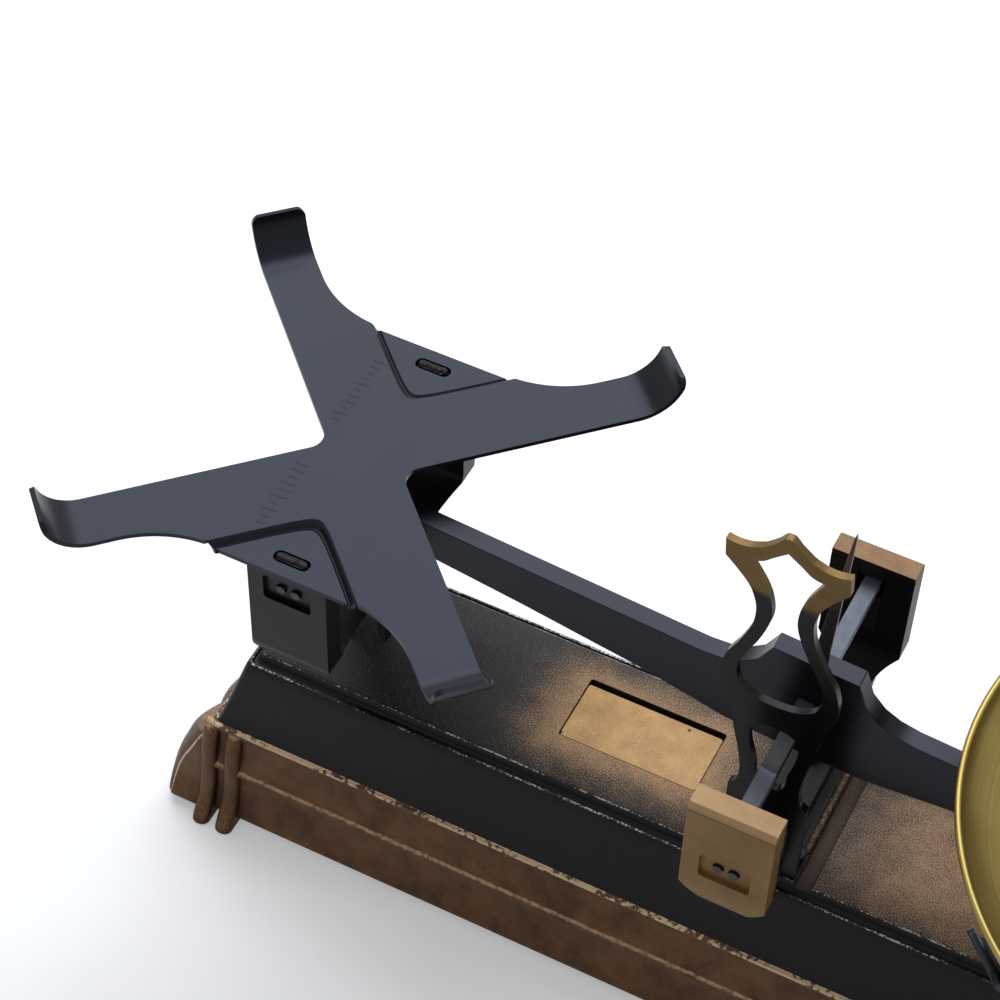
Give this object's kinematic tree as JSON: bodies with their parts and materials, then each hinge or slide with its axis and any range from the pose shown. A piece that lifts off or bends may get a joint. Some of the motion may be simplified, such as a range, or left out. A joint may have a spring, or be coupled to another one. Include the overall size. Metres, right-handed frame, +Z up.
{
  "type": "table balance",
  "caption": "Counter balance with a rocking beam on knife edges, level carriers for pans above it, a crown-shaped sight frame and a hollow cast base; one dished brass pan is on.",
  "frame": {"origin": "centre of the base's underside, on the surface that the balance stands on", "axes": "+X along the beam towards the pan, +Y to the rear, away from the crown frame's side, +Z up"},
  "size_m": [0.5878, 0.2466, 0.2778],
  "materials": {
    "base_enamel": "black enamel on the deck and walls, dull gold paint on the skirt and sprayed over part of the deck",
    "black_enamel": "glossy black enamel",
    "stand_enamel": "black enamel with gold paint on the heads and the crown",
    "gold_paint": "fine metallic gold paint",
    "pan_brass": "satin, slightly tarnished",
    "bare_steel": "ground, lightly oiled",
    "needle_steel": "browned"
  },
  "bodies": {
    "root": {"base_casting": "base_enamel", "fulcrum_stand": "stand_enamel", "stand_cap_front": "gold_paint", "stand_cap_rear": "gold_paint", "stand_bearing_front": "bare_steel", "stand_bearing_rear": "bare_steel", "stand_bolt_front": "bare_steel", "stand_bolt_rear": "bare_steel", "stand_nut_front": "bare_steel", "stand_nut_rear": "bare_steel", "crown_frame": "stand_enamel", "crown_screw_left": "bare_steel", "crown_screw_right": "bare_steel", "stay_hanger": "black_enamel", "stay_centre_pin": "bare_steel"},
    "cover": {"cover_plate": "gold_paint"},
    "beam": {"beam": "black_enamel", "centre_knife": "bare_steel", "left_knife": "bare_steel", "right_knife": "bare_steel", "needle": "needle_steel"},
    "left_carrier": {"left_yoke": "black_enamel", "left_yoke_bearing_front": "bare_steel", "left_yoke_bearing_rear": "bare_steel", "left_pan_support": "black_enamel", "left_stem": "bare_steel", "left_stem_rivet": "bare_steel", "left_stay_pin": "bare_steel"},
    "right_carrier": {"right_yoke": "black_enamel", "right_yoke_bearing_front": "bare_steel", "right_yoke_bearing_rear": "bare_steel", "right_pan_support": "black_enamel", "right_stem": "bare_steel", "right_stem_rivet": "bare_steel", "right_stay_pin": "bare_steel"},
    "stay": {"stay_bar": "bare_steel"},
    "pan": {"pan": "pan_brass"}
  },
  "joints": [
    {"name": "beam_rock", "type": "hinge", "parent": "root", "child": "beam", "pos_m": [0, 0, 0.15], "axis": [0, 1, 0], "range_deg": [-8, 0]},
    {"name": "left_carrier_level", "type": "hinge", "parent": "beam", "child": "left_carrier", "pos_m": [-0.18455, 0, 0.1629], "axis": [0, 1, 0], "range_deg": [0, 8]},
    {"name": "right_carrier_level", "type": "hinge", "parent": "beam", "child": "right_carrier", "pos_m": [0.18455, 0, 0.13709], "axis": [0, 1, 0], "range_deg": [0, 8]},
    {"name": "stay_rock", "type": "hinge", "parent": "root", "child": "stay", "pos_m": [0, 0, 0.032], "axis": [0, 1, 0], "range_deg": [-8, 0]},
    {"name": "pan_lift", "type": "slide", "parent": "right_carrier", "child": "pan", "axis": [0, 0, 1], "range_m": [0, 0.1]},
    {"name": "cover_lift", "type": "slide", "parent": "root", "child": "cover", "axis": [0, 0, 1], "range_m": [0, 0.03]}
  ],
  "couplings": [
    {"joint": "left_carrier_level", "follows": "beam_rock", "ratio": -1},
    {"joint": "right_carrier_level", "follows": "beam_rock", "ratio": -1},
    {"joint": "stay_rock", "follows": "beam_rock", "ratio": 1}
  ]
}
